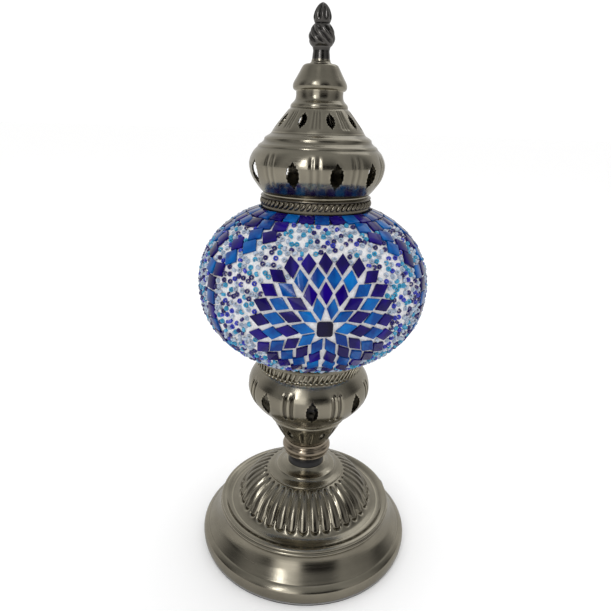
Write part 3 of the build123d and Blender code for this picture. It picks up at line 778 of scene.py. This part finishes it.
def on_a_tile(place):
    """Whether a bead here would sit on a tile or touch its edge."""
    local = numpy.abs(zone_turns @ (numpy.array(place) / MM) + zone_shifts)
    close = (local < 11).all(axis=1)
    lengths, widths = zone_sizes[close, 0], zone_sizes[close, 1]
    across, along = local[close, 0], local[close, 1]
    in_rhombus = along / (lengths + 2.5) + across / (widths + 1.5) < 1
    in_square = (along < lengths + 1.2) & (across < widths + 1.2)
    return bool(numpy.where(zone_sizes[close, 2] > 0, in_rhombus, in_square).any())


def by_a_bead(place):
    """Whether a laid bead is too near. Laid beads are kept in cubic cells."""
    middle = cell_of(place)
    for steps in itertools.product((-1, 0, 1), repeat=3):
        for other in cells.get(tuple(m + step for m, step in zip(middle, steps)), ()):
            if (other - place).length < BEAD_SPACING * MM:
                return True
    return False


def cell_of(place):
    return tuple(int(c // (CELL * MM)) for c in place)


def pile_for(draw):
    """The colour that a draw from 0 to 1 falls on, or none in the last rounding."""
    total = 0
    for name, (share, _) in bead_looks.items():
        total += share
        if draw < total:
            return bead_piles[name]
    return []


top_arc, low_arc = arc_at(39.5), arc_at(40.5)
for _ in range(45000):
    arc = random.uniform(-low_arc, top_arc)
    azimuth = random.uniform(0, 360)
    spin_tilt, lie, spin_turn, colour_draw = (random.random() for _ in range(4))
    if random.random() > skin_row(arc)[0] / SKIN:
        continue
    matrix = skin_place(azimuth, arc, BEAD_SINK)
    place = matrix.translation
    in_a_flower = any((place - heart).length < FLOWER_HEART * MM for heart in hearts)
    if in_a_flower or on_a_tile(place) or by_a_bead(place):
        continue
    cells.setdefault(cell_of(place), []).append(place.copy())
    lean = 25 * spin_tilt if lie < 0.62 else 90 - 20 * spin_tilt
    matrix = matrix @ turn_about_axis(360 * spin_turn) @ Matrix.Rotation(math.radians(lean), 4, "X")
    pile_for(colour_draw).append(placed(seed, matrix))
bpy.data.objects.remove(seed)
for name, pile in bead_piles.items():
    finished(joined(name, pile), bead_looks[name][1], "globe", "frosted_glass")

# ---------------------------------------------------------------- cap

cap_foot = foot("cap_collar")
rope_foot, rope_top = foot("rope_band"), crown("rope_band")
bulge_foot = foot("cap_bulge")
bell_foot = foot("cap_bell")
dome_seam = foot("cap_dome")
dome_flat = crown("cap_dome")

collar = turned("collar_band", [(26.0, cap_foot), (30.0, cap_foot)],
                [(30.3, cap_foot + 0.3), (30.3, rope_foot - 0.1)], [(29.6, rope_foot), (29.6, rope_top)],
                [(30.4, rope_top + 0.1), (31.1, rope_top + 0.7), (31.0, rope_top + 1.3),
                 (30.3, bulge_foot - 0.2)],
                [(29.8, bulge_foot)], [(28.4, bulge_foot), (28.4, cap_foot + 1.4)], [(26.0, cap_foot + 1.4)])
# The collar gets the darker copy of the bronze: painted shade under the bulge
finished(collar, "shaded_bronze", "cap", "antique_bronze", "cap_collar")

strands = 60
clear_selection()
bpy.ops.mesh.primitive_uv_sphere_add(segments=8, ring_count=7, radius=MM)
strand = bpy.context.object
bpy.ops.object.mode_set(mode="EDIT")
bpy.ops.transform.resize(value=(1.15, 0.95, 2.3))
bpy.ops.object.mode_set(mode="OBJECT")
strand.data.transform(Matrix.Translation((0, -30.6 * MM, (rope_foot + rope_top) / 2 * MM))
                      @ Matrix.Rotation(math.radians(38), 4, "Y"))
rope_core = turned("rope_core", [(29.6, rope_foot), (30.1, rope_foot)], [(30.1, rope_top)],
                   [(29.6, rope_top)])
rope = joined("rope_twist", [around("strands", strand, strands), rope_core])
smooth(rope, 60)
# The rope band gets the darker copy of the bronze: painted shade under the bulge
finished(rope, "shaded_bronze", "cap", "antique_bronze", "rope_band")


bulge_ribs = (-1.5, 33, 68, 106, 148, 192, 235, 277, 319.5)


def bulge_flutes(azimuth, height, radius):
    off = min(abs((azimuth - middle + 180) % 360 - 180) for middle in bulge_ribs)
    return hump(off - 2.8, 2.2) * band(height, bulge_foot + 4.5, bulge_foot + 23, 3.5) if radius > 30 else 0


bulge_windows = (16, 50, 87, 126, 170, 214, 256, 298, 341)
bulge = turned("bulge_pierced", [(29.6, bulge_foot), (29.7, bulge_foot + 0.7)],
               [(31.0, bulge_foot + 1.9), (33.4, bulge_foot + 4.9), (36.2, bulge_foot + 9.2),
                (37.5, bulge_foot + 14.2), (37.2, bulge_foot + 18.2), (35.3, bulge_foot + 22.2),
                (33.0, bulge_foot + 24.6)],
               [(32.7, bulge_foot + 25.3), (32.0, bulge_foot + 26.0), (31.0, bulge_foot + 26.6)],
               [(29.9, bulge_foot + 27.5), (29.4, bulge_foot + 28.4)],
               [(29.2, bulge_foot + 29.2), (28.4, bulge_foot + 30.0), (27.4, bulge_foot + 30.6)],
               [(25.9, bulge_foot + 31.5), (25.4, bell_foot)], [(22.4, bell_foot)], steps=300, sheet=0.9)
pressed(bulge, 0.45, bulge_flutes)
pierced(bulge, bulge_windows, bulge_foot + 12.2, 13.8, 7.2, 22, 48)
bronze(bulge, "cap", "cap_bulge")


def bell_flutes(azimuth, height, radius):
    off = abs(nearest_of(azimuth, 9, -3))
    return (hump(off - 4.5, 2.2) + hump(off, 2.2)) * band(height, bell_foot + 1.5, bell_foot + 11.5, 1.5)


bell = turned("bell_pierced", [(22.4, bell_foot), (25.3, bell_foot)],
              [(24.4, bell_foot + 1.6), (22.8, bell_foot + 3.8), (19.5, bell_foot + 7.9),
               (16.4, bell_foot + 11.6)],
              [(15.5, bell_foot + 12.3), (15.5, bell_foot + 13.1)],
              [(15.1, bell_foot + 14.2), (14.1, bell_foot + 15.2)],
              [(13.1, bell_foot + 16.4), (12.6, bell_foot + 18.2), (12.6, dome_seam)],
              [(2.7, dome_seam)], steps=270, sheet=0.9)
pressed(bell, 0.35, bell_flutes)
pierced(bell, evenly(9, 17), bell_foot + 6.0, 8.2, 4.8, 12, 34)
bronze(bell, "cap", "cap_bell")

bronze(turned("dome_small", [(12.2, dome_seam), (13.4, dome_seam)],
              [(14.2, dome_seam + 0.9), (14.4, dome_seam + 2.3), (13.9, dome_seam + 4.0),
               (12.6, dome_seam + 6.2), (11.2, dome_seam + 8.6), (10.0, dome_seam + 10.8),
               (9.2, dome_seam + 12.0), (8.2, dome_flat)],
              [(2.7, dome_flat)], sheet=0.9), "cap", "cap_dome")

# ---------------------------------------------------------------- finial

ferrule_foot, stem_foot = foot("finial_ferrule"), foot("finial_stem")
bud_foot, tip = foot("finial_bud"), crown("finial_bud")
finished(turned("ferrule_flare", [(2.1, ferrule_foot), (5.9, ferrule_foot)],
                [(5.7, ferrule_foot + 0.5), (5.1, ferrule_foot + 1.1), (4.9, stem_foot)],
                [(2.1, stem_foot)], steps=64),
         "antique_bronze", "finial", "gunmetal", "finial_ferrule")
finished(turned("stem_plain", [(2.1, stem_foot), (4.7, stem_foot)],
                [(4.5, stem_foot + 2.4), (4.3, stem_foot + 4.2), (4.7, bud_foot)],
                [(2.1, bud_foot)], steps=64),
         "gunmetal", "finial", "gunmetal", "finial_stem")


def leaves(azimuth, height, radius):
    if height < bud_foot + 10.4:
        swirl = nearest_of(azimuth + 9 * (height - bud_foot), 9, 0) / 20
        return abs(swirl) ** 1.5 * band(height, bud_foot + 0.8, bud_foot + 10.0, 1.8)
    upright = nearest_of(azimuth, 8, 0) / 22.5
    return abs(upright) ** 1.5 * 0.8 * band(height, bud_foot + 11.4, tip - 0.6, 1.6)


bud = turned("bud_carved", [(0.0, bud_foot), (4.8, bud_foot)],
             [(6.1, bud_foot + 1.4), (6.9, bud_foot + 3.6), (6.5, bud_foot + 6.8), (5.0, bud_foot + 9.4),
              (3.8, bud_foot + 10.6)],
             [(4.5, bud_foot + 12.4), (4.6, bud_foot + 14.2), (3.6, bud_foot + 17.0), (1.9, bud_foot + 19.2),
              (0.0, tip)], steps=144, angle=60)
pressed(bud, 1.1, leaves)
smooth(bud, 60)
finished(bud, "gunmetal", "finial", "antique_bronze", "finial_bud")

# ---------------------------------------------------------------- studio

clear_selection()
bpy.ops.mesh.primitive_circle_add(vertices=96, radius=30.0, fill_type="NGON", location=(0, 0, 0))
floor = bpy.context.object
floor.name = "studio_floor"
floor_finish = bpy.data.materials.new("studio_floor")
floor_finish.use_nodes = True
floor_tree = floor_finish.node_tree
floor_shader = floor_tree.nodes["Principled BSDF"]
# The metal mirrors a duller floor than the eye sees, so that its lower curves stay dark
floor_rays = floor_tree.nodes.new("ShaderNodeLightPath").outputs
floor_colour = mixed(floor_tree, floor_rays["Is Glossy Ray"],
                     (0.98, 0.98, 0.98, 1.0), (0.56, 0.55, 0.53, 1.0))
floor_tree.links.new(floor_colour, floor_shader.inputs["Base Color"])
floor_shader.inputs["Roughness"].default_value = 1.0
floor_shader.inputs["Specular IOR Level"].default_value = 0.0
floor.data.materials.append(floor_finish)

world = bpy.data.worlds.new("studio")
bpy.context.scene.world = world
world.use_nodes = True
sky = world.node_tree
background = sky.nodes["Background"]
way = sky.nodes.new("ShaderNodeTexCoord").outputs["Generated"]
parts = sky.nodes.new("ShaderNodeSeparateXYZ")
sky.links.new(way, parts.inputs["Vector"])
compass = maths(sky, "ARCTAN2", parts.outputs["X"], maths(sky, "MULTIPLY", parts.outputs["Y"], -1.0))
share = ranged(sky, compass, -math.pi, math.pi)
room = sky.nodes.new("ShaderNodeValToRGB")
sky.links.new(share, room.inputs["Fac"])
# Brightness of the room by azimuth, in degrees from the front: a tall bright window left of the middle
shades = [(-180, 0.75), (-115, 0.62), (-80, 0.07), (-58, 0.34), (-36, 0.10), (-22, 1.7), (-8, 1.7), (2, 0.02),
          (34, 0.02), (46, 0.42), (74, 0.30), (92, 0.10), (125, 0.62), (180, 0.75)]
room.color_ramp.interpolation = "EASE"
while len(room.color_ramp.elements) < len(shades):
    room.color_ramp.elements.new(0.5)
for element, (azimuth, level) in zip(room.color_ramp.elements, shades):
    element.position = (azimuth + 180) / 360
    element.color = (level, level * 0.985, level * 0.96, 1)
rays = sky.nodes.new("ShaderNodeLightPath").outputs
overhead = ranged(sky, parts.outputs["Z"], 0.35, 0.95)
lit = mixed(sky, overhead, room.outputs["Color"], (0.42, 0.42, 0.41, 1.0))
pale = maths(sky, "MAXIMUM", rays["Is Camera Ray"], rays["Is Diffuse Ray"])
sky.links.new(mixed(sky, pale, lit, (1.06, 1.06, 1.06, 1.0)), background.inputs["Color"])
background.inputs["Strength"].default_value = 1.0


def soft_light(name, azimuth, height, distance, size, power):
    lamp = bpy.data.lights.new(name, "AREA")
    lamp.shape = "RECTANGLE"
    lamp.size, lamp.size_y = size
    lamp.energy = power
    holder = bpy.data.objects.new(name, lamp)
    bpy.context.collection.objects.link(holder)
    turn = math.radians(azimuth)
    holder.location = (math.sin(turn) * distance, -math.cos(turn) * distance, height)
    aim = Vector((0, 0, 0.16)) - holder.location
    holder.rotation_euler = aim.to_track_quat("-Z", "Y").to_euler()


soft_light("key_window", -24, 0.95, 1.25, (0.16, 0.8), 2.5)
soft_light("top_fill", 150, 1.6, 0.9, (1.2, 1.2), 3)

# ---------------------------------------------------------------- camera

camera_distance, camera_height = 309.5 * MM, 271.4 * MM
pitch, roll, yaw = math.radians(21.17), math.radians(1.94), math.radians(0.69)
right = Vector((math.cos(yaw), math.sin(yaw), 0))
level_forward = Vector((-math.sin(yaw), math.cos(yaw), 0))
forward = level_forward * math.cos(pitch) + Vector((0, 0, -math.sin(pitch)))
up = level_forward * math.sin(pitch) + Vector((0, 0, math.cos(pitch)))
camera_x = right * math.cos(roll) + up * math.sin(roll)
camera_y = up * math.cos(roll) - right * math.sin(roll)
eye = bpy.data.objects.new("camera", bpy.data.cameras.new("camera"))
bpy.context.collection.objects.link(eye)
stance = Matrix((camera_x, camera_y, -forward)).transposed().to_4x4()
stance.translation = (0, -camera_distance, camera_height)
eye.matrix_world = stance
eye.data.sensor_width = 36
eye.data.lens = 31.33
eye.data.shift_x = 0.0014
eye.data.shift_y = 0.0422
eye.data.clip_start = 0.01
bpy.context.scene.camera = eye
bpy.context.scene.view_settings.view_transform = "Standard"
